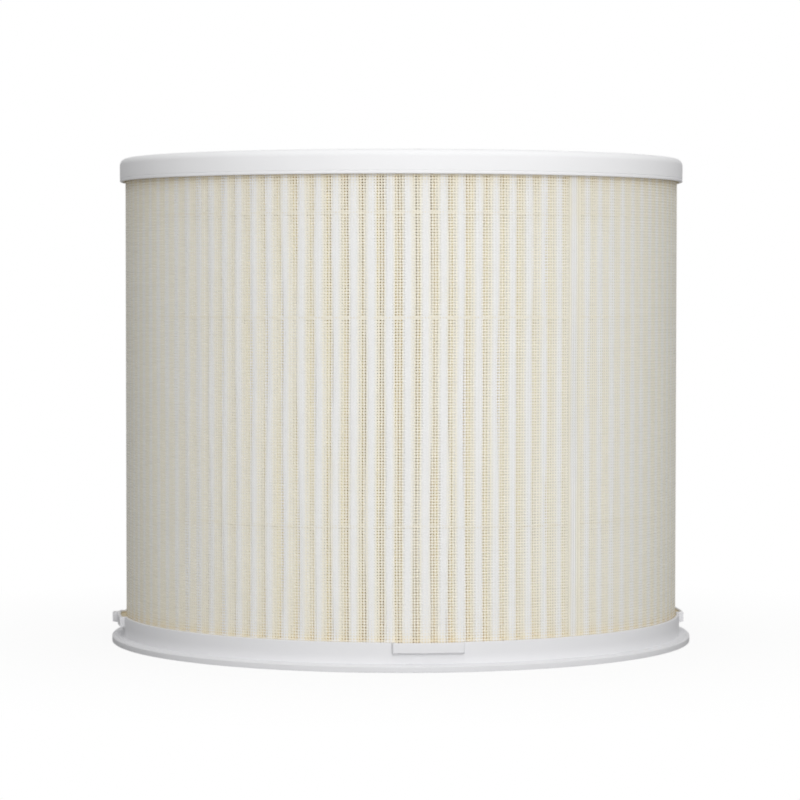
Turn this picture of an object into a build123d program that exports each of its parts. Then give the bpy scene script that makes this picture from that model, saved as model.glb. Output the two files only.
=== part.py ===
# Drum-shaped air purifier filter: a pleated paper pack in a net sleeve, potted into two moulded rings.
# Millimetres, +Z up, origin at the centre of the base. One bump-out of the bottom wall faces -Y.
import os
from math import cos, degrees, radians, sin

from build123d import *

# Overall sizes
height = 217.8  # base to the upper face of the top ring
net_radius = 125.0  # outside of the net sleeve
bore_radius = 91.0  # clear opening through both rings
ring_wall = 1.4  # moulded wall of both rings
cut_margin = 1.0  # how far a cut runs past what it removes

# Bottom ring
base_floor = 2.4
base_rim = 12.1  # top of the outer wall
base_inner_rim = 11.5  # top of the inner wall
base_net_fit = 0.35  # gap between the net and the outer wall
flange_overhang = 4.7  # from the outer wall to the flange's edge
flange_thickness = 3.0
flange_bevel = 0.6

# Bump-outs on the bottom ring's outer wall, and the key lug on one of them
bump_count = 4
bump_width = 30.3
bump_height = 4.7
bump_reach = 2.2  # beyond the outer wall
bump_bevel = 0.6
bump_floor = 1.3
key_width = 5.0
key_offset = 3.7  # degrees from the middle of its bump-out

# Top ring
top_height = 10.4
top_inner_height = 10.0
top_web = 2.4
top_net_gap = 1.1  # gap between the net and the outer wall
top_round = 3.0  # rounded upper edge
top_flat_count = 2  # that stand for the rounded edge

# Glue in both rings, measured from the rim of the outer wall
glue_below_rim = 1.1

# Net sleeve and its upright seam
net_thickness = 0.4
net_strand = 2.0
net_hem = 3.0
seam_width = 6.0
seam_angle = -59.0
seam_thickness = 0.2

# Threads of glue between the net and the folds
thread_pitch = 43.7
thread_places = (0, 1, 3)  # in pitches below the first one
thread_top_margin = 17.3  # from the upper ends of the folds
thread_height = 1.8
thread_thickness = 0.4
slip = 0.05  # net to thread, and thread to folds
span_folds = 2  # folds under each straight span of net or thread

# Pleated sheet
pleat_count = 104
sheet = 0.6
fold_depth = 29.2
fold_width = 4.2  # at its blunt outer edge
valley_width = 0.8  # at the bottom, between two folds

# Places that follow from the sizes above
base_wall_inner = net_radius + base_net_fit
base_wall_outer = base_wall_inner + ring_wall
flange_radius = base_wall_outer + flange_overhang
bump_radius = base_wall_outer + bump_reach
bump_base = base_rim - bump_height
pocket_base = bump_base + bump_floor
channel_inner = bore_radius + ring_wall
top_wall_inner = net_radius + top_net_gap
top_radius = top_wall_inner + ring_wall
top_lip = height - top_height
top_ceiling = height - top_web
pack_base = base_rim - glue_below_rim
pack_top = top_lip + glue_below_rim
pack_height = pack_top - pack_base
pleat_pitch = 360 / pleat_count
span_count = pleat_count // span_folds
net_inner = net_radius - net_thickness
thread_radius = net_inner - slip
thread_inner = thread_radius - thread_thickness
fold_radius = thread_inner * cos(radians(180 / span_count)) - slip  # inside the threads' straight spans
valley_radius = fold_radius - fold_depth


def polar(radius, angle):
    return (radius * cos(radians(angle)), radius * sin(radians(angle)))


def corner(sketch, radius, level):
    return sketch.vertices().sort_by_distance((radius, level))[0]


def save(piece, name):
    piece.label = name
    export_step(piece, f"parts/{name}.step")


def rounded_edge(radius, level, rounding, flats):
    # Points along the rounded outer edge of a ring, from its upper face down to its side.
    turns = [radians(90 * step / flats) for step in range(flats + 1)]
    return [
        (radius - rounding + rounding * sin(turn), level - rounding + rounding * cos(turn)) for turn in turns
    ]


def bump_sectors(plane, width, outer, inner, bevel):
    # One piece of a ring at each bump-out, with its outer corners bevelled.
    with BuildSketch(plane) as sectors:
        with PolarLocations(outer, bump_count):
            Rectangle(2 * (outer - inner) + 2 * cut_margin, width)
        Circle(outer, mode=Mode.INTERSECT)
        Circle(inner, mode=Mode.SUBTRACT)
        outer_corners = sectors.vertices().sort_by(lambda v: Vector(v).length)[-2 * bump_count :]
        chamfer(outer_corners, bevel)
    return sectors.sketch


def folded_outline(tip_radius, tip_width, root_radius, root_width):
    # A closed zigzag: every fold has a blunt outer edge, and its flanks run down to a narrow valley.
    points = []
    tip_half = degrees(tip_width / 2 / tip_radius)
    root_half = degrees(root_width / 2 / root_radius)
    for fold in range(pleat_count):
        middle = fold * pleat_pitch - 90
        valley = middle + pleat_pitch / 2
        points.append(polar(tip_radius, middle - tip_half))
        points.append(polar(tip_radius, middle + tip_half))
        points.append(polar(root_radius, valley - root_half))
        points.append(polar(root_radius, valley + root_half))
    return points


def wrapped_outline(radius):
    # What is pulled round the folds runs straight from corner to corner, the first one over the -Y fold.
    return [polar(radius, 360 * span / span_count - 90) for span in range(span_count)]


os.makedirs("parts", exist_ok=True)

# Bottom ring: flange, channel for the folds, hollow bump-outs and one key lug
bump_faces = bump_sectors(
    Plane.XY.offset(bump_base), bump_width, bump_radius, base_wall_inner, bump_bevel
)
pocket_faces = bump_sectors(
    Plane.XY.offset(pocket_base),
    bump_width - 2 * ring_wall,
    bump_radius - ring_wall,
    base_wall_inner - cut_margin,
    bump_bevel / 2,
)
with BuildPart() as bottom_ring:
    with BuildSketch(Plane.XZ) as profile:
        with BuildLine():
            Polyline(
                (bore_radius, 0),
                (flange_radius, 0),
                (flange_radius, flange_thickness),
                (base_wall_outer, flange_thickness),
                (base_wall_outer, base_rim),
                (base_wall_inner, base_rim),
                (base_wall_inner, base_floor),
                (channel_inner, base_floor),
                (channel_inner, base_inner_rim),
                (bore_radius, base_inner_rim),
                close=True,
            )
        make_face()
        chamfer(corner(profile, flange_radius, flange_thickness), flange_bevel)
    revolve(axis=Axis.Z)
    extrude(bump_faces, amount=bump_height)
    with BuildSketch(Plane.XY.offset(bump_base)):
        with PolarLocations(bump_radius, 1, start_angle=180 - key_offset):
            Rectangle(2 * (flange_radius - bump_radius) + 2 * cut_margin, key_width)
        Circle(flange_radius, mode=Mode.INTERSECT)
        Circle(bump_radius - ring_wall / 2, mode=Mode.SUBTRACT)
    extrude(amount=bump_height)
    extrude(pocket_faces, amount=bump_height, mode=Mode.SUBTRACT)
save(bottom_ring.part, "bottom_ring")

# Top ring: a channel with a rounded upper edge, turned over the folds
with BuildPart() as top_ring:
    with BuildSketch(Plane.XZ):
        with BuildLine():
            Polyline(
                (bore_radius, height),
                *rounded_edge(top_radius, height, top_round, top_flat_count),
                (top_radius, top_lip),
                (top_wall_inner, top_lip),
                (top_wall_inner, top_ceiling),
                (channel_inner, top_ceiling),
                (channel_inner, height - top_inner_height),
                (bore_radius, height - top_inner_height),
                close=True,
            )
        make_face()
    revolve(axis=Axis.Z)
save(top_ring.part, "top_ring")

# Glue that fills each ring's channel up to the ends of the folds
with BuildPart() as bottom_potting:
    with BuildSketch(Plane.XY.offset(base_floor)):
        Circle(base_wall_inner)
        Circle(channel_inner, mode=Mode.SUBTRACT)
    extrude(amount=pack_base - base_floor)
    extrude(pocket_faces, amount=pack_base - pocket_base)
save(bottom_potting.part, "bottom_potting")

with BuildPart() as top_potting:
    with BuildSketch(Plane.XY.offset(pack_top)):
        Circle(top_wall_inner)
        Circle(channel_inner, mode=Mode.SUBTRACT)
    extrude(amount=top_ceiling - pack_top)
save(top_potting.part, "top_potting")

# Pleated sheet: the zigzag between its outer and inner face, drawn up to full height
with BuildPart() as pleat_pack:
    with BuildSketch(Plane.XY.offset(pack_base)):
        with BuildLine():
            Polyline(*folded_outline(fold_radius, fold_width, valley_radius, valley_width), close=True)
        make_face()
        with BuildLine():
            inner_face = folded_outline(
                fold_radius - sheet, fold_width - 2 * sheet, valley_radius - sheet, valley_width + 2 * sheet
            )
            Polyline(*inner_face, close=True)
        make_face(mode=Mode.SUBTRACT)
    extrude(amount=pack_height)
save(pleat_pack.part, "pleat_pack")

# Threads of glue from fold to fold, counted from the top
for row, place in enumerate(thread_places):
    level = pack_top - thread_top_margin - place * thread_pitch
    with BuildPart() as spacer_thread:
        with BuildSketch(Plane.XY.offset(level - thread_height / 2)):
            with BuildLine():
                Polyline(*wrapped_outline(thread_radius), close=True)
            make_face()
            with BuildLine():
                Polyline(*wrapped_outline(thread_inner), close=True)
            make_face(mode=Mode.SUBTRACT)
        extrude(amount=thread_height)
    save(spacer_thread.part, f"spacer_thread_{row + 1}")

# Net sleeve round the threads, with a strand over every fold and an upright overlap where its ends meet
strand_window = 2 * net_radius * sin(radians(pleat_pitch / 2)) - net_strand
with BuildPart() as mesh_sleeve:
    with BuildSketch(Plane.XY.offset(pack_base)):
        with BuildLine():
            Polyline(*wrapped_outline(net_radius), close=True)
        make_face()
        with BuildLine():
            Polyline(*wrapped_outline(net_inner), close=True)
        make_face(mode=Mode.SUBTRACT)
    extrude(amount=pack_height)
    with BuildSketch(Plane.XY.offset(pack_base + net_hem)):
        with PolarLocations(net_radius - net_thickness / 2, pleat_count, start_angle=pleat_pitch / 2 - 90):
            Rectangle(net_thickness + 2 * cut_margin, strand_window)
    extrude(amount=pack_height - 2 * net_hem, mode=Mode.SUBTRACT)
    with BuildSketch(Plane.XY.offset(pack_base)):
        with PolarLocations(net_radius, 1, start_angle=seam_angle):
            Rectangle(2 * net_thickness + 2 * cut_margin, seam_width)
        Circle(net_radius + seam_thickness, mode=Mode.INTERSECT)
        Circle(net_inner, mode=Mode.SUBTRACT)
    extrude(amount=pack_height)
save(mesh_sleeve.part, "mesh_sleeve")
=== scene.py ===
from math import cos, degrees, pi, radians, sin, tau
from random import Random

import bmesh
import bpy
import numpy as np
from mathutils import Euler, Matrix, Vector


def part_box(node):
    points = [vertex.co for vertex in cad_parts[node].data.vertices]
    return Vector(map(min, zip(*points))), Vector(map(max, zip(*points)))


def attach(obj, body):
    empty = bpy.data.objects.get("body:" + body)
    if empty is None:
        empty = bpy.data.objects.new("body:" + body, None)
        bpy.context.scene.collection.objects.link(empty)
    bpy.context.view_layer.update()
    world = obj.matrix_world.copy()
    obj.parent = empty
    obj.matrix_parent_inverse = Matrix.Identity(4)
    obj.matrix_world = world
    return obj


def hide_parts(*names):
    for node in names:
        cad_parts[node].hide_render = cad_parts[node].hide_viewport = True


# A drum filter: folded paper behind a fine net, potted into two white rings.
# Sizes are in millimetres until a mesh is made, and angles are in degrees from +X.
MM = 0.001
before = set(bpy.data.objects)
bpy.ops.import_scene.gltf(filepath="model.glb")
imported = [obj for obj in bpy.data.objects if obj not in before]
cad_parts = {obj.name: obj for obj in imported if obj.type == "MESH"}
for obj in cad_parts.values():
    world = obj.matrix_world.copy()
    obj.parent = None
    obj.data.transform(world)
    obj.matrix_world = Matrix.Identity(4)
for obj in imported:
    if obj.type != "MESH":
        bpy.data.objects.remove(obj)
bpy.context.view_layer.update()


def reach(node):
    # Outer radius, lowest and highest level of a CAD node.
    low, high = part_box(node)
    return high.x / MM, low.z / MM, high.z / MM


# Places taken from the frame
NET_RADIUS = -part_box("mesh_sleeve")[0].y / MM
PACK_BASE, PACK_TOP = reach("pleat_pack")[1:]
TOP_RADIUS, TOP_LIP, TOP_FACE = reach("top_ring")
FLANGE_RADIUS, BASE, BASE_RIM = reach("bottom_ring")
THREADS = ["spacer_thread_1", "spacer_thread_2", "spacer_thread_3"]
THREAD_LEVELS = [sum(reach(name)[1:]) / 2 for name in THREADS]

# Both rings
BORE = 91.0
WALL = 1.4
CHANNEL = BORE + WALL
INNER_ROUND = 0.4
RING_STEPS = 320

# Bottom ring
BASE_FLOOR = 2.4
BASE_WALL = NET_RADIUS + 0.35
WALL_OUTER = BASE_WALL + WALL
INNER_RIM = BASE_RIM - 0.6
RIM_ROUND = 0.35
RIM_CHAMFER = 0.2
BORE_CHAMFER = 0.3
FLANGE_TOP = BASE + 3.0
FLANGE_ROUND = 0.15
FLANGE_BEVEL = 0.4
FLANGE_STEP = 0.3
FLANGE_STEP_WIDTH = 1.8
FOOT_FILLET = 0.2

# Bump-outs of the bottom ring's wall, and the key lug on one of them
BUMP_WIDTH = 30.3
POCKET_WIDTH = BUMP_WIDTH - 2 * WALL
BUMP_REACH = 2.2
BUMP_BASE = BASE_RIM - 4.7
POCKET_BASE = BUMP_BASE + 1.3
BUMP_MIDDLES = (-180, -90, 0, 90, 180)
BUMP_FOOT = 0.25
BUMP_ROUND = 0.5
BUMP_STEPS = 7
KEY_WIDTH = 5.0
KEY_ANGLE = 180 - 3.7
KEY_REACH = FLANGE_RADIUS - WALL_OUTER - BUMP_REACH

# Top ring
TOP_WALL = NET_RADIUS + 1.1
TOP_CEILING = TOP_FACE - 2.4
TOP_INNER_RIM = TOP_FACE - 10.0
TOP_ROUND = 3.0
TOP_BORE_ROUND = 0.6
LIP_ROUND = 0.5
LIP_GROOVE = TOP_LIP + 1.4
GROOVE_DEPTH = 0.22
GROOVE_ROUND = 0.1

# Folded paper
FOLDS = 104
PITCH = 360 / FOLDS
FOLD_SHIFT = -0.5
SHEET = 0.5
TIP_RADIUS = NET_RADIUS - 0.2
TIP_WIDTH = 4.5
TIP_ROUND = 2.1
TIP_STEPS = 3
VALLEY_RADIUS = 94.9
VALLEY_ROUND = 0.7
VALLEY_GAPS = ((19.0, 0.5), (9.0, 0.72), (3.0, 0.9))  # depth below the tip, share of the gap there
GAP_FLOOR = 0.3
PACK_LEVELS = 24

# How uneven the folds are: random spread, number of waves along the height, size of each wave
FOLD_STRAY = (0.14, 4, 0.18)
FOLD_STRAY_LIMIT = 0.6
WIDTH_STRAY = (0.16, 3, 0.14)
WIDTH_STRAY_LIMITS = (-0.6, 0.5)
TIP_SINK = (0.05, 2, 0.04)

# Seeds of the random draws
FOLD_SEED = 8
UPRIGHT_SEED = 3
SEAM_SEED = 4
HOOP_SEED = 5

# Net, with the seat of each set of strands measured in from the net's outer radius
UPRIGHTS = 630
UPRIGHT_STEP = 360 / UPRIGHTS
UPRIGHT_LEVELS = 14
UPRIGHT_SEAT = 0.31
UPRIGHT_JITTER = 0.02
NET_DRIFT = (4, 0.05)  # number and size of the waves that all uprights share
STRAND_DRIFT = (2, 0.012)
STRAND_WIDTH = 0.62
STRAND_THICKNESS = 0.28
STRAND_CORNERS = ((-1, 0), (1, 0), (1, 1), (-1, 1))  # across the strand, out from its inner face
HOOP_PITCH = 1.222
HOOP_SEGMENTS = 148
HOOP_SEAT = 0.30
HOOP_JITTER = 0.02
HOOP_SWAY = (0.03, 0.09)
HOOP_SWAY_TURNS = (1, 2, 3, 5)
HOOP_SWAYS = 4
SEAM_ANGLE = -59.0
SEAM_WIDTH = 6.0
SEAM_SEAT = 0.1

# Threads of glue
THREAD_HEIGHT = 1.2
THREAD_DIP = 0.9
THREAD_DIP_SPREAD = (0.6, 1.4)
THREAD_THIN = 0.04
THREAD_SWELL = 0.75
THREAD_WAVES = ((0.12, 7), (0.1, 23))  # size and number round the drum
THREAD_SIDES = 8
THREAD_STEPS = 10

# Potting glue
GLUE_CREEP = 0.6
GLUE_CLIMB = (
    (0.0, 0.7), (0.01, 0.45), (0.03, 0.2), (0.08, 0.05), (0.5, 0.0),
    (0.92, 0.05), (0.97, 0.2), (0.99, 0.45), (1.0, 0.7),
)  # share of the way across the channel, rise of the skin
GLUE_CALM = 0.3  # rise at which the ripples vanish
RIPPLES = 5
RIPPLE_SIZE = 0.08
RIPPLE_TURNS = (3, 40)

# Colours
WHITE = (1, 1, 1, 1)
TOP_TONE = (0.89, 0.89, 0.90)
# The base ring is the same white plastic as the top ring; its darker tone is painted shade for light
# falling off towards the bottom.
BASE_TONE_PAINTED_SHADE = (0.78, 0.78, 0.795)
# Paper tones by depth, from the valley floor to the blunt folds: painted warm bounce light low down,
# painted shade of the net at the folds.
PAPER_PAINTED_LIGHT_BY_DEPTH = ((0.0, (0.945, 0.87, 0.60)), (0.84, (0.955, 0.90, 0.68)), (0.93, (0.80, 0.795, 0.785)))
PAPER_MOTTLE = ((0.35, (0.95, 0.95, 0.94)), (0.65, (1, 1, 1)))
# Paper tone in the warmer, darker band near both rings.
PAPER_END_TONE = (0.95, 0.85, 0.62, 1)
NET_TONES = ((0.3, (0.865, 0.865, 0.86)), (0.7, (0.885, 0.885, 0.88)))
# Warm tones on the strands over the valleys, plain and near both rings, are painted glow for light shining
# through the thin net.
NET_GLOW_PAINTED_OVER_VALLEY = (1.0, 0.955, 0.82, 1)
NET_GLOW_PAINTED_NEAR_ENDS = (0.99, 0.925, 0.755, 1)
# Side faces of the strands, plain and near both rings, are darker as painted shade between strands, which
# cast no shadow.
NET_SIDE_PAINTED_SHADE = (0.59, 0.57, 0.495, 1)
NET_END_SIDE_PAINTED_SHADE = (0.53, 0.44, 0.28, 1)
BEAD_TONES = ((0.67, 0.61, 0.49), (0.72, 0.67, 0.56))
POTTING_TONES = ((0.66, 0.55, 0.33), (0.76, 0.65, 0.42))
NOISE_RANGE = (0.3, 0.7)  # where most of a noise lies

# Warmer, darker band at both ends of the folds: its reach, its edge, how wavy it is, and its strength along
# the way
END_BAND_REACH = 30.0
END_BAND_EDGE = 1.5
END_BAND_WAVE = 0.6
END_BAND = ((0.0, 0), (0.8, 0.22), (0.9, 0.45), (1.0, 1))

# Camera, light and floor
CAMERA_DISTANCE = 1437.5
CAMERA_HEIGHT = 163.0
CAMERA_AZIMUTH = -90 - 5.2
CAMERA_PITCH = -2.166
CAMERA_ROLL = -0.04
CAMERA_YAW = 0.02
CAMERA_LENS = 141.88
CAMERA_SENSOR = 36
LAMP_DISTANCE = 1600
LAMP_HEIGHT = 550
LAMP_SIZE = 1200
KEY_ASIDE = 9
KEY_WATTS = 16.3
BACK_ASIDE = 180
BACK_WATTS = 6
SKY_STRENGTH = (0.385, 0.98)  # low down, overhead
SKY_RISE = 0.4
FLOOR_REACH = 6000
FLOOR_TONE = (0.39, 0.39, 0.39, 1)
FLOOR_TONE_SEEN = (0.95, 0.95, 0.95, 1)
FLOOR_GLOW = (0.86, 1.0)  # near the object, far from it
FLOOR_GLOW_RADIUS = (140, 300)


# Mesh helpers
def grid_quads(rows, columns, wrap_rows, wrap_columns):
    # Faces of a grid of points that are numbered row by row.
    row = np.arange(rows if wrap_rows else rows - 1)
    column = np.arange(columns if wrap_columns else columns - 1)
    r, c = np.meshgrid(row, column, indexing="ij")
    r_next, c_next = (r + 1) % rows, (c + 1) % columns
    corners = [r * columns + c, r * columns + c_next, r_next * columns + c_next, r_next * columns + c]
    return np.stack(corners, axis=-1).reshape(-1, 4)


def turned(radius, angle, level):
    # Points in space from arrays of radius, angle and level.
    turn = np.radians(angle)
    radius, turn, level = np.broadcast_arrays(radius, turn, level)
    return np.stack([radius * np.cos(turn), radius * np.sin(turn), level], axis=-1)


def add_piece(name, points, faces, material, stands_for, sharp=40, clean=False):
    # A smooth mesh that rides on the root body and stands for CAD nodes.
    mesh = bpy.data.meshes.new(name)
    mesh.from_pydata((np.asarray(points).reshape(-1, 3) * MM).tolist(), [], np.asarray(faces).tolist())
    shape = bmesh.new()
    shape.from_mesh(mesh)
    if clean:
        bmesh.ops.remove_doubles(shape, verts=shape.verts, dist=0.002 * MM)
        bmesh.ops.dissolve_degenerate(shape, edges=shape.edges, dist=0.001 * MM)
    bmesh.ops.recalc_face_normals(shape, faces=shape.faces)
    shape.to_mesh(mesh)
    shape.free()
    mesh.shade_smooth()
    mesh.set_sharp_from_angle(angle=radians(sharp))
    mesh.materials.append(material)
    piece = bpy.data.objects.new(name, mesh)
    bpy.context.scene.collection.objects.link(piece)
    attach(piece, "root")
    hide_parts(*stands_for)
    return piece


def rounded_profile(corners, steps):
    # A closed outline of (radius, level, rounding) corners, with an arc at each rounded one.
    outline = []
    for i, (r, z, rounding) in enumerate(corners):
        here = np.array([r, z])
        if rounding == 0:
            outline.append(here)
            continue
        back = np.array(corners[i - 1][:2]) - here
        ahead = np.array(corners[(i + 1) % len(corners)][:2]) - here
        back = back / np.linalg.norm(back)
        ahead = ahead / np.linalg.norm(ahead)
        half = np.arccos(np.clip(back @ ahead, -1, 1)) / 2
        turn = pi - 2 * half
        centre = here + (back + ahead) / np.linalg.norm(back + ahead) * rounding / np.sin(half)
        start = here + back * rounding / np.tan(half) - centre
        end = here + ahead * rounding / np.tan(half) - centre
        for share in np.linspace(0, 1, steps + 1):
            spoke = (start * sin((1 - share) * turn) + end * sin(share * turn)) / sin(turn)
            outline.append(centre + spoke)
    return np.array(outline)


def quarter(centre_r, centre_z, size, start, steps=4):
    # A quarter turn from the start angle, as (radius, level) points.
    turns = [radians(start + 90 * step / steps) for step in range(steps + 1)]
    return [(centre_r + size * cos(turn), centre_z + size * sin(turn)) for turn in turns]


def eased(share):
    # A soft step from 0 to 1.
    share = np.clip(share, 0, 1)
    return share * share * (3 - 2 * share)


def waves(draw, count, amplitude):
    # A smooth wander along the height: one row of (amplitude, turns, phase) for each wave.
    return [
        (amplitude * draw.uniform(0.4, 1), draw.uniform(0.5, 2.2), draw.uniform(0, tau))
        for _ in range(count)
    ]


def wander(rows, share):
    return sum(size * np.sin(tau * turns * share + phase) for size, turns, phase in rows)


# Material helpers
def new_material(name, **inputs):
    material = bpy.data.materials.new(name)
    material.use_nodes = True
    shader = material.node_tree.nodes["Principled BSDF"]
    for socket, value in inputs.items():
        shader.inputs[socket.replace("_", " ")].default_value = value
    return material, material.node_tree, shader


def add_node(tree, kind, inputs=None, **settings):
    node = tree.nodes.new(kind)
    for setting, value in settings.items():
        setattr(node, setting, value)
    for socket, value in (inputs or {}).items():
        if isinstance(value, bpy.types.NodeSocket):
            tree.links.new(value, node.inputs[socket])
        else:
            node.inputs[socket].default_value = value
    return node


def calc(tree, operation, *values):
    return add_node(tree, "ShaderNodeMath", dict(enumerate(values)), operation=operation).outputs[0]


def vector_calc(tree, operation, *values):
    return add_node(tree, "ShaderNodeVectorMath", dict(enumerate(values)), operation=operation).outputs


def place(tree):
    return add_node(tree, "ShaderNodeTexCoord").outputs["Object"]


def split(tree, where):
    return add_node(tree, "ShaderNodeSeparateXYZ", {0: where}).outputs


def noise(tree, where, scale, detail=3.0):
    inputs = {"Vector": where, "Scale": scale, "Detail": detail}
    return add_node(tree, "ShaderNodeTexNoise", inputs).outputs["Fac"]


def ramp(tree, value, *stops):
    # Each stop is (position, colour).
    node = add_node(tree, "ShaderNodeValToRGB", {"Fac": value})
    elements = node.color_ramp.elements
    while len(elements) < len(stops):
        elements.new(0.5)
    for element, (position, colour) in zip(elements, stops):
        element.position = position
        element.color = (*colour, 1)
    return node.outputs["Color"]


def spread(tree, value, low, high, to_low, to_high):
    inputs = {"Value": value, "From Min": low, "From Max": high, "To Min": to_low, "To Max": to_high}
    return add_node(tree, "ShaderNodeMapRange", inputs).outputs["Result"]


def mix_colour(tree, share, first, second, blend="MIX"):
    inputs = {0: share, 6: first, 7: second}
    return add_node(tree, "ShaderNodeMix", inputs, data_type="RGBA", blend_type=blend).outputs[2]


def bump(tree, shader, height, distance):
    node = add_node(tree, "ShaderNodeBump", {"Height": height, "Distance": distance * MM, "Strength": 1.0})
    tree.links.new(node.outputs["Normal"], shader.inputs["Normal"])


def from_axis(tree, where):
    # The level vector from the drum's axis to a place.
    return vector_calc(tree, "MULTIPLY", where, (1, 1, 0))[0]


def radius_of(tree, where):
    return vector_calc(tree, "LENGTH", from_axis(tree, where))["Value"]


def over_valleys(tree, where):
    # 0 over the blunt folds, rising to 1 over the valleys between them, with a ragged border.
    parts = split(tree, where)
    angle = calc(tree, "ARCTAN2", parts["Y"], parts["X"])
    turns = calc(tree, "MULTIPLY_ADD", angle, FOLDS, -FOLDS * radians(FOLD_SHIFT - 90))
    ragged = spread(tree, noise(tree, where, 28, 4), *NOISE_RANGE, -0.35, 0.35)
    wave = calc(tree, "ADD", calc(tree, "COSINE", turns), ragged)
    return spread(tree, wave, 0.8, -0.3, 0, 1)


def outward(tree, where):
    # 1 on faces that look straight out from the axis, falling to 0 on faces that look along the net.
    normal = add_node(tree, "ShaderNodeNewGeometry").outputs["Normal"]
    radial = vector_calc(tree, "NORMALIZE", from_axis(tree, where))[0]
    facing = vector_calc(tree, "DOT_PRODUCT", normal, radial)["Value"]
    return spread(tree, facing, 0.3, 0.8, 0, 1)


def near_ends(tree, where):
    # 1 where the folds leave the rings, falling to 0 further in.
    middle = (PACK_BASE + PACK_TOP) / 2 * MM
    end = (PACK_TOP - PACK_BASE) / 2 * MM
    away = calc(tree, "ABSOLUTE", calc(tree, "SUBTRACT", split(tree, where)["Z"], middle))
    wavy = spread(tree, noise(tree, where, 90), *NOISE_RANGE, -END_BAND_WAVE * MM, END_BAND_WAVE * MM)
    away = calc(tree, "ADD", away, wavy)
    along = spread(tree, away, end - END_BAND_REACH * MM, end - END_BAND_EDGE * MM, 0, 1)
    return ramp(tree, along, *[(position, (grey, grey, grey)) for position, grey in END_BAND])


# Materials
def plastic_material(name, tone):
    # White moulded plastic with a fine spark-eroded skin.
    material, tree, shader = new_material(name, IOR=1.49, Specular_IOR_Level=0.15)
    where = place(tree)
    dark = tuple(0.985 * channel for channel in tone)
    shade = ramp(tree, noise(tree, where, 26), (NOISE_RANGE[0], dark), (NOISE_RANGE[1], tone))
    tree.links.new(shade, shader.inputs["Base Color"])
    roughness = spread(tree, noise(tree, where, 60), *NOISE_RANGE, 0.45, 0.57)
    tree.links.new(roughness, shader.inputs["Roughness"])
    bump(tree, shader, noise(tree, where, 2600, 4), 0.004)
    return material


def paper_material():
    # Matt filter paper, greyer at the blunt folds as painted shade, warmer down the flanks as painted
    # bounce light, and warmer near the rings.
    material, tree, shader = new_material("filter_paper", Roughness=0.9, Specular_IOR_Level=0.15)
    where = place(tree)
    height = spread(tree, radius_of(tree, where), VALLEY_RADIUS * MM, TIP_RADIUS * MM, 0, 1)
    # The ramp by depth is painted light: painted shade of the net at the blunt folds and painted warm
    # bounce light down the flanks.
    shade = ramp(tree, height, *PAPER_PAINTED_LIGHT_BY_DEPTH)
    mottle = ramp(tree, noise(tree, where, 240, 5), *PAPER_MOTTLE)
    band_near_ends = mix_colour(tree, near_ends(tree, where), WHITE, PAPER_END_TONE)
    shade = mix_colour(tree, 1.0, shade, band_near_ends, "MULTIPLY")
    shade = mix_colour(tree, 1.0, shade, mottle, "MULTIPLY")
    tree.links.new(shade, shader.inputs["Base Color"])
    fibres = add_node(tree, "ShaderNodeMapping", {"Vector": where, "Scale": (1, 1, 0.3)})
    bump(tree, shader, noise(tree, fibres.outputs["Vector"], 1800, 5), 0.06)
    return material


def net_material():
    # White extruded strands, a little see-through, with painted glow over valleys and painted side shade.
    material, tree, shader = new_material("net", IOR=1.5, Specular_IOR_Level=0.3, Alpha=0.82)
    where = place(tree)
    cloud = ramp(tree, noise(tree, where, 140, 4), *NET_TONES)
    band_near_ends = near_ends(tree, where)
    cream = mix_colour(tree, band_near_ends, NET_GLOW_PAINTED_OVER_VALLEY, NET_GLOW_PAINTED_NEAR_ENDS)
    # The warm tone over the valleys is a painted glow for light shining through the net from the folds
    # behind.
    painted_glow = mix_colour(tree, over_valleys(tree, where), WHITE, cream)
    face = mix_colour(tree, 1.0, cloud, painted_glow, "MULTIPLY")
    # The darker side faces are painted shade between the strands, which cast no shadow.
    side = mix_colour(tree, band_near_ends, NET_SIDE_PAINTED_SHADE, NET_END_SIDE_PAINTED_SHADE)
    tree.links.new(mix_colour(tree, outward(tree, where), side, face), shader.inputs["Base Color"])
    roughness = spread(tree, noise(tree, where, 900), *NOISE_RANGE, 0.4, 0.6)
    tree.links.new(roughness, shader.inputs["Roughness"])
    bump(tree, shader, noise(tree, where, 3000), 0.02)
    return material


def glue_material(name, tones, roughness, scale):
    # Set glue: cloudy colour, a soft shine and a lumpy skin.
    material, tree, shader = new_material(name, Roughness=roughness, IOR=1.48)
    where = place(tree)
    cloud = ramp(tree, noise(tree, where, scale, 4), *zip(NOISE_RANGE, tones))
    tree.links.new(cloud, shader.inputs["Base Color"])
    bump(tree, shader, noise(tree, where, 6 * scale), 0.2)
    return material


# Rings
def build_top_ring(material):
    # A channel with a rounded upper edge and a fine groove above its lip.
    corners = [
        (BORE, TOP_FACE, TOP_BORE_ROUND),
        (TOP_RADIUS, TOP_FACE, TOP_ROUND),
        (TOP_RADIUS, LIP_GROOVE + GROOVE_DEPTH, 0),
        (TOP_RADIUS - GROOVE_DEPTH, LIP_GROOVE, 0),
        (TOP_RADIUS, LIP_GROOVE - GROOVE_DEPTH, GROOVE_ROUND),
        (TOP_RADIUS, TOP_LIP, LIP_ROUND),
        (TOP_WALL, TOP_LIP, INNER_ROUND),
        (TOP_WALL, TOP_CEILING, 0),
        (CHANNEL, TOP_CEILING, 0),
        (CHANNEL, TOP_INNER_RIM, INNER_ROUND),
        (BORE, TOP_INNER_RIM, INNER_ROUND),
    ]
    profile = rounded_profile(corners, 8)
    angles = np.arange(RING_STEPS) * 360 / RING_STEPS
    points = turned(profile[None, :, 0], angles[:, None], profile[None, :, 1])
    faces = grid_quads(RING_STEPS, len(profile), True, True)
    add_piece("top_cap", points, faces, material, ["top_ring"])


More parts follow.
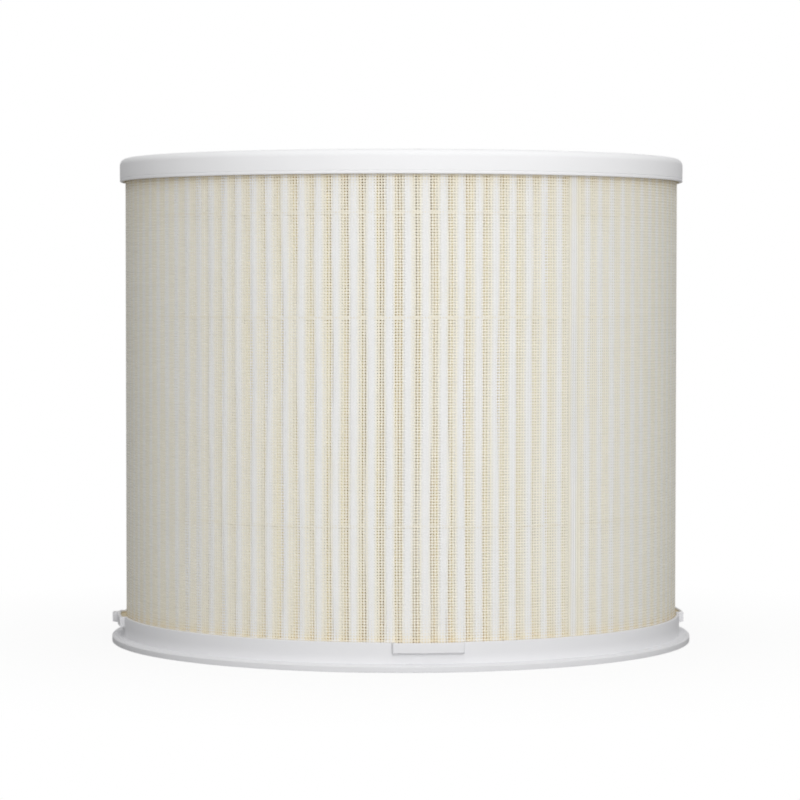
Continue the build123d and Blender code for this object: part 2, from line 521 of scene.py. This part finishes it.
def raised(angles, middle, width, reach_out):
    # How far a block on the wall stands out at each angle, with a soft step at both of its ends.
    inside = width / 2 - np.abs(np.radians(angles - middle)) * WALL_OUTER
    return reach_out * eased((inside + BUMP_FOOT) / (BUMP_FOOT + BUMP_ROUND))


def bumps(angles, width):
    # The same for all bump-outs, or for their pockets, which are narrower.
    return np.max([raised(angles, middle, width, BUMP_REACH) for middle in BUMP_MIDDLES], axis=0)


def block_angles(middle, width):
    # Angles at which a raised block needs points: along the soft step at both of its ends.
    places = width / 2 + BUMP_FOOT - np.linspace(0, 1, BUMP_STEPS) * (BUMP_FOOT + BUMP_ROUND)
    aside = np.degrees(places / WALL_OUTER)
    return np.concatenate([middle - aside, middle + aside])


def ring_angles():
    # Angles at which the bottom ring needs points.
    angles = [np.arange(RING_STEPS) * 360 / RING_STEPS - 180]
    for middle in BUMP_MIDDLES:
        angles += [block_angles(middle, BUMP_WIDTH), block_angles(middle, POCKET_WIDTH)]
    angles = np.concatenate([*angles, block_angles(KEY_ANGLE, KEY_WIDTH)])
    return np.unique(np.round(angles[(angles >= -180) & (angles < 180)], 4))


def bottom_profile(out, hollow):
    # Section of the bottom ring where its wall stands out by one amount and is hollowed by another.
    edge_top = FLANGE_TOP - FLANGE_STEP
    step_radius = FLANGE_RADIUS - FLANGE_STEP_WIDTH
    fillet_middle = 0.3 * FOOT_FILLET
    pocket_wall = BASE_WALL + hollow
    section = [(BORE, BASE + BORE_CHAMFER), (BORE + BORE_CHAMFER, BASE)]
    section += quarter(FLANGE_RADIUS - FLANGE_ROUND, BASE + FLANGE_ROUND, FLANGE_ROUND, -90)
    section += [(FLANGE_RADIUS, edge_top - FLANGE_BEVEL), (FLANGE_RADIUS - FLANGE_BEVEL, edge_top)]
    section += [(step_radius + FLANGE_STEP, edge_top), (step_radius, FLANGE_TOP)]
    section.append((WALL_OUTER + FOOT_FILLET, FLANGE_TOP))
    section.append((WALL_OUTER + fillet_middle, FLANGE_TOP + fillet_middle))
    section.append((WALL_OUTER, FLANGE_TOP + FOOT_FILLET))
    for share in np.linspace(0, 1, BUMP_STEPS):
        level = BUMP_BASE - BUMP_FOOT + (BUMP_FOOT + BUMP_ROUND) * share
        section.append((WALL_OUTER + out * eased(share), level))
    section += quarter(WALL_OUTER + out - RIM_ROUND, BASE_RIM - RIM_ROUND, RIM_ROUND, 0)
    section += [(pocket_wall + RIM_CHAMFER, BASE_RIM), (pocket_wall, BASE_RIM - RIM_CHAMFER)]
    section += [(pocket_wall, POCKET_BASE), (BASE_WALL, POCKET_BASE), (BASE_WALL, BASE_FLOOR)]
    section += [(CHANNEL, BASE_FLOOR), (CHANNEL, INNER_RIM - INNER_ROUND)]
    section += quarter(CHANNEL - INNER_ROUND, INNER_RIM - INNER_ROUND, INNER_ROUND, 0)
    section += quarter(BORE + INNER_ROUND, INNER_RIM - INNER_ROUND, INNER_ROUND, 90)
    return section


def build_bottom_ring(material):
    # A flanged channel whose wall has hollow bump-outs and one key lug.
    angles = ring_angles()
    out = bumps(angles, BUMP_WIDTH) + raised(angles, KEY_ANGLE, KEY_WIDTH, KEY_REACH)
    hollow = bumps(angles, POCKET_WIDTH)
    rows = np.array([bottom_profile(*sizes) for sizes in zip(out, hollow)])
    points = turned(rows[:, :, 0], angles[:, None], rows[:, :, 1])
    faces = grid_quads(len(angles), rows.shape[1], True, True)
    add_piece("base_cap", points, faces, material, ["bottom_ring"], sharp=32, clean=True)


# Folded paper
def fold_places():
    # Middle angle, half width and outer radius of every fold at every level.
    draw = Random(FOLD_SEED)
    share = np.linspace(0, 1, PACK_LEVELS)
    middle, half, tip = np.zeros((3, PACK_LEVELS, FOLDS))
    for fold in range(FOLDS):
        stray = draw.gauss(0, FOLD_STRAY[0]) + wander(waves(draw, *FOLD_STRAY[1:]), share)
        stray = np.clip(stray, -FOLD_STRAY_LIMIT, FOLD_STRAY_LIMIT)
        middle[:, fold] = fold * PITCH - 90 + FOLD_SHIFT + stray
        wider = draw.gauss(0, WIDTH_STRAY[0]) + wander(waves(draw, *WIDTH_STRAY[1:]), share)
        half[:, fold] = (TIP_WIDTH + np.clip(wider, *WIDTH_STRAY_LIMITS)) / 2
        sunk = abs(draw.gauss(0, TIP_SINK[0])) + np.abs(wander(waves(draw, *TIP_SINK[1:]), share))
        tip[:, fold] = TIP_RADIUS - sunk
    return middle, half, tip


def fold_flank(middle, half, tip, root, side):
    # Rows of (angle, radius) from the valley on one side of every fold up to its rounded tip.
    root_aside = degrees(VALLEY_ROUND / VALLEY_RADIUS)
    flank = [(root, np.full_like(tip, VALLEY_RADIUS))]
    flank.append((root - side * root_aside, np.full_like(tip, VALLEY_RADIUS + VALLEY_ROUND)))
    edge = middle + side * np.degrees(half / tip)
    gap = side * np.radians(root - edge) * tip
    for depth, share in VALLEY_GAPS:
        radius = tip - depth
        left = GAP_FLOOR + (gap - GAP_FLOOR) * share
        flank.append((root - side * np.degrees(left / radius), radius))
    for step in range(TIP_STEPS + 1):
        turn = pi / 2 * step / TIP_STEPS
        inset = np.degrees(TIP_ROUND * (1 - cos(turn)) / tip)
        flank.append((edge - side * inset, tip - TIP_ROUND * (1 - sin(turn))))
    return flank


def build_pleats(material, middle, half, tip):
    # One thick sheet: an outer face, an inner face a sheet away from it, and the two cut ends.
    valley = (middle + np.roll(middle, -1, axis=1)) / 2
    valley[:, -1] += 180
    valley_before = np.roll(valley, 1, axis=1)
    valley_before[:, 0] -= 360
    strip = fold_flank(middle, half, tip, valley_before, -1)
    strip += fold_flank(middle, half, tip, valley, 1)[:0:-1]
    angle = np.stack([row[0] for row in strip], axis=-1).reshape(PACK_LEVELS, -1)
    radius = np.stack([row[1] for row in strip], axis=-1).reshape(PACK_LEVELS, -1)
    level = np.linspace(PACK_BASE, PACK_TOP, PACK_LEVELS)[:, None]
    outer = turned(radius, angle, level)
    ahead = np.roll(outer, -1, axis=1) - np.roll(outer, 1, axis=1)
    across = np.stack([-ahead[..., 1], ahead[..., 0], np.zeros(ahead.shape[:2])], axis=-1)
    across /= np.linalg.norm(across, axis=-1, keepdims=True)
    inner = outer + SHEET * across
    columns = outer.shape[1]
    skin = grid_quads(PACK_LEVELS, columns, False, True)
    shift = PACK_LEVELS * columns
    lowest = np.arange(columns)
    highest = lowest + (PACK_LEVELS - 1) * columns
    cuts = []
    for end in (lowest, highest):
        following = np.roll(end, -1)
        cuts.append(np.stack([end, following, following + shift, end + shift], axis=-1))
    points = np.concatenate([outer.reshape(-1, 3), inner.reshape(-1, 3)])
    faces = np.concatenate([skin, skin + shift, *cuts])
    add_piece("folded_paper", points, faces, material, ["pleat_pack"], sharp=60)


# Net
def ribbon_faces(count, rows, sides, wrap):
    # Faces of a row of tubes that share one numbering, with open tubes closed at both ends.
    tube = grid_quads(rows, sides, wrap, True)
    shift = rows * sides * np.arange(count)[:, None, None]
    faces = [(tube[None] + shift).reshape(-1, 4)]
    if not wrap:
        ends = np.array([list(range(sides)), list(range((rows - 1) * sides, rows * sides))])
        faces.append((ends[None] + shift).reshape(-1, sides))
    return np.concatenate(faces)


def let_light_through(strands):
    # The strands are too thin to shade the folds behind them.
    strands.visible_shadow = False
    strands.visible_diffuse = False


def build_uprights(material, name, places, seat, seed):
    # Upright strands of the net: flat ribbons that wander a little.
    draw = Random(seed)
    share = np.linspace(0, 1, UPRIGHT_LEVELS)
    level = PACK_BASE + (PACK_TOP - PACK_BASE) * share
    half = degrees(STRAND_WIDTH / 2 / NET_RADIUS)
    drift = wander(waves(draw, *NET_DRIFT), share)
    points = []
    for angle in places:
        line = angle + draw.gauss(0, UPRIGHT_JITTER) + drift + wander(waves(draw, *STRAND_DRIFT), share)
        tube = []
        for side, out in STRAND_CORNERS:
            radius = NET_RADIUS - seat + STRAND_THICKNESS * out
            tube.append(turned(radius, line + side * half, level))
        points.append(np.stack(tube, axis=1))
    faces = ribbon_faces(len(places), UPRIGHT_LEVELS, len(STRAND_CORNERS), False)
    let_light_through(add_piece(name, np.array(points), faces, material, ["mesh_sleeve"]))


def build_hoops(material):
    # Level strands of the net, one closed flat ribbon each.
    draw = Random(HOOP_SEED)
    angles = np.arange(HOOP_SEGMENTS) * 360 / HOOP_SEGMENTS
    half = STRAND_WIDTH / 2
    count = int((PACK_TOP - PACK_BASE - STRAND_WIDTH) / HOOP_PITCH) + 1
    sway = np.zeros(HOOP_SEGMENTS)
    for _ in range(HOOP_SWAYS):
        size = draw.uniform(*HOOP_SWAY)
        turns = draw.choice(HOOP_SWAY_TURNS)
        sway += size * np.sin(np.radians(turns * angles + draw.uniform(0, 360)))
    points = []
    for hoop in range(count):
        level = PACK_BASE + half + hoop * HOOP_PITCH + draw.gauss(0, HOOP_JITTER) + sway
        level = np.clip(level, PACK_BASE + half, PACK_TOP - half)
        tube = []
        for side, out in STRAND_CORNERS:
            radius = NET_RADIUS - HOOP_SEAT + STRAND_THICKNESS * out
            tube.append(turned(radius, angles, level + side * half))
        points.append(np.stack(tube, axis=1))
    faces = ribbon_faces(count, HOOP_SEGMENTS, len(STRAND_CORNERS), True)
    let_light_through(add_piece("net_hoops", np.array(points), faces, material, ["mesh_sleeve"]))


# Glue
def build_thread(material, node, level, middle):
    # A bead that is pressed flat over each fold and sags a little into the valley behind the net.
    row = int(round((level - PACK_BASE) / (PACK_TOP - PACK_BASE) * (PACK_LEVELS - 1)))
    draw = Random(node)
    angles, outs, sizes = [], [], []
    for fold in range(FOLDS):
        here = middle[row, fold]
        following = middle[row, (fold + 1) % FOLDS] + (360 if fold == FOLDS - 1 else 0)
        dip = THREAD_DIP * draw.uniform(*THREAD_DIP_SPREAD)
        for step in range(THREAD_STEPS):
            share = step / THREAD_STEPS
            sag = sin(pi * share) ** 2
            angles.append(here + (following - here) * share)
            outs.append(TIP_RADIUS - dip * sag)
            sizes.append(THREAD_THIN + THREAD_SWELL * sag)
    angles, outs, sizes = (np.array(values) for values in (angles, outs, sizes))
    middles = level + sum(size * np.sin(np.radians(angles * turns)) for size, turns in THREAD_WAVES)
    tube = []
    for side in range(THREAD_SIDES):
        turn = tau * side / THREAD_SIDES
        radius = outs - sizes + sizes * cos(turn)
        tube.append(turned(radius, angles, middles + THREAD_HEIGHT / 2 * sin(turn)))
    points = np.stack(tube, axis=1)
    faces = grid_quads(len(angles), THREAD_SIDES, True, True)
    add_piece("glue_" + node, points, faces, material, [node], sharp=70)


def build_potting(material, name, node, angles, outer, levels, wall):
    # Glue in a ring's channel, with a wavy skin that creeps up at both walls.
    draw = Random(node)
    skin, shelf, floor = levels
    upward = 1 if skin > floor else -1
    ripple = np.zeros(len(angles))
    for _ in range(RIPPLES):
        turns = draw.randint(*RIPPLE_TURNS)
        ripple += RIPPLE_SIZE * np.sin(np.radians(turns * angles) + draw.uniform(0, tau))
    rows = []
    for share, rise in GLUE_CLIMB:
        lift = GLUE_CREEP * np.clip(rise + ripple * (GLUE_CALM - rise), 0, None)
        rows.append(turned(CHANNEL + (outer - CHANNEL) * share, angles, skin + upward * lift))
    for radius, level in ((outer, shelf), (wall, shelf), (wall, floor), (CHANNEL, floor)):
        rows.append(turned(radius, angles, level))
    points = np.stack(rows, axis=1)
    faces = grid_quads(len(angles), points.shape[1], True, True)
    add_piece(name, points, faces, material, [node], clean=True)


# Studio
def build_floor():
    # A floor that the camera sees as white with a faint shadow, and that throws less light back.
    mesh = bpy.data.meshes.new("floor")
    size = FLOOR_REACH * MM
    corners = [(-size, -size, 0), (size, -size, 0), (size, size, 0), (-size, size, 0)]
    mesh.from_pydata(corners, [], [(0, 1, 2, 3)])
    floor = bpy.data.objects.new("floor", mesh)
    bpy.context.scene.collection.objects.link(floor)
    material = bpy.data.materials.new("floor")
    material.use_nodes = True
    tree = material.node_tree
    tree.nodes.clear()
    seen = add_node(tree, "ShaderNodeLightPath").outputs["Is Camera Ray"]
    tone = mix_colour(tree, seen, FLOOR_TONE, FLOOR_TONE_SEEN)
    matt = add_node(tree, "ShaderNodeBsdfDiffuse", {"Color": tone}).outputs[0]
    white = add_node(tree, "ShaderNodeEmission", {"Color": WHITE, "Strength": 1.0}).outputs[0]
    near, far = (radius * MM for radius in FLOOR_GLOW_RADIUS)
    share = calc(tree, "MULTIPLY", seen, spread(tree, radius_of(tree, place(tree)), near, far, *FLOOR_GLOW))
    mixed = add_node(tree, "ShaderNodeMixShader", {0: share, 1: matt, 2: white}).outputs[0]
    add_node(tree, "ShaderNodeOutputMaterial", {"Surface": mixed})
    mesh.materials.append(material)


def build_world():
    # Soft light that grows towards the zenith; the camera itself sees plain white.
    world = bpy.data.worlds.new("studio")
    bpy.context.scene.world = world
    world.use_nodes = True
    tree = world.node_tree
    tree.nodes.clear()
    direction = add_node(tree, "ShaderNodeTexCoord").outputs["Generated"]
    strength = spread(tree, split(tree, direction)["Z"], SKY_RISE, 1.0, *SKY_STRENGTH)
    light = add_node(tree, "ShaderNodeBackground", {"Color": WHITE, "Strength": strength}).outputs[0]
    white = add_node(tree, "ShaderNodeBackground", {"Color": WHITE, "Strength": 1.0}).outputs[0]
    seen = add_node(tree, "ShaderNodeLightPath").outputs["Is Camera Ray"]
    mixed = add_node(tree, "ShaderNodeMixShader", {0: seen, 1: light, 2: white}).outputs[0]
    add_node(tree, "ShaderNodeOutputWorld", {"Surface": mixed})


def add_softbox(name, aside, watts):
    # A square softbox that faces the middle of the object, turned aside from the camera by an angle.
    lamp = bpy.data.lights.new(name, "AREA")
    lamp.shape = "SQUARE"
    lamp.size = LAMP_SIZE * MM
    lamp.energy = watts
    softbox = bpy.data.objects.new(name, lamp)
    turn = radians(CAMERA_AZIMUTH + aside)
    spot = Vector((LAMP_DISTANCE * cos(turn), LAMP_DISTANCE * sin(turn), LAMP_HEIGHT)) * MM
    softbox.location = spot
    facing = Vector((0, 0, TOP_FACE * MM / 2)) - spot
    softbox.rotation_euler = facing.to_track_quat("-Z", "Y").to_euler()
    softbox.visible_camera = False
    softbox.visible_glossy = False
    bpy.context.scene.collection.objects.link(softbox)


def add_camera():
    data = bpy.data.cameras.new("camera")
    data.lens = CAMERA_LENS
    data.sensor_width = CAMERA_SENSOR
    camera = bpy.data.objects.new("camera", data)
    turn = radians(CAMERA_AZIMUTH)
    far = CAMERA_DISTANCE * MM
    camera.location = (far * cos(turn), far * sin(turn), CAMERA_HEIGHT * MM)
    heading = turn + pi / 2 + radians(CAMERA_YAW)
    camera.rotation_euler = Euler((radians(90 + CAMERA_PITCH), radians(CAMERA_ROLL), heading), "XYZ")
    bpy.context.scene.collection.objects.link(camera)
    bpy.context.scene.camera = camera


top_plastic = plastic_material("top_plastic", TOP_TONE)
# The base ring's plastic is a darker copy of the top ring's: painted shade.
base_plastic_painted_shade = plastic_material("base_plastic_painted_shade", BASE_TONE_PAINTED_SHADE)
paper = paper_material()
net = net_material()
bead = glue_material("thread_glue", BEAD_TONES, 0.4, 220)
potting = glue_material("potting_glue", POTTING_TONES, 0.35, 160)

build_top_ring(top_plastic)
build_bottom_ring(base_plastic_painted_shade)
fold_middle, fold_half, fold_tip = fold_places()
build_pleats(paper, fold_middle, fold_half, fold_tip)
build_uprights(net, "net_uprights", np.arange(UPRIGHTS) * UPRIGHT_STEP, UPRIGHT_SEAT, UPRIGHT_SEED)
build_hoops(net)
seam_half = degrees(SEAM_WIDTH / 2 / NET_RADIUS)
seam_places = np.arange(SEAM_ANGLE - seam_half, SEAM_ANGLE + seam_half, UPRIGHT_STEP)
build_uprights(net, "net_seam", seam_places, SEAM_SEAT, SEAM_SEED)
for thread, thread_level in zip(THREADS, THREAD_LEVELS):
    build_thread(bead, thread, thread_level, fold_middle)
base_angles = ring_angles()
base_walls = BASE_WALL + bumps(base_angles, POCKET_WIDTH)
base_levels = (PACK_BASE, POCKET_BASE, BASE_FLOOR)
build_potting(potting, "base_glue", "bottom_potting", base_angles, base_walls, base_levels, BASE_WALL)
top_angles = np.arange(RING_STEPS) * 360 / RING_STEPS
top_levels = (PACK_TOP, TOP_CEILING, TOP_CEILING)
build_potting(potting, "top_glue", "top_potting", top_angles, TOP_WALL, top_levels, TOP_WALL)

build_floor()
build_world()
add_softbox("key_box", KEY_ASIDE, KEY_WATTS)
add_softbox("back_box", BACK_ASIDE, BACK_WATTS)
add_camera()
bpy.context.scene.view_settings.view_transform = "Standard"
bpy.context.scene.cycles.diffuse_bounces = 12
bpy.context.scene.cycles.use_denoising = True
bpy.context.scene.cycles.denoising_prefilter = "NONE"
bpy.context.scene.cycles.filter_width = 2.0
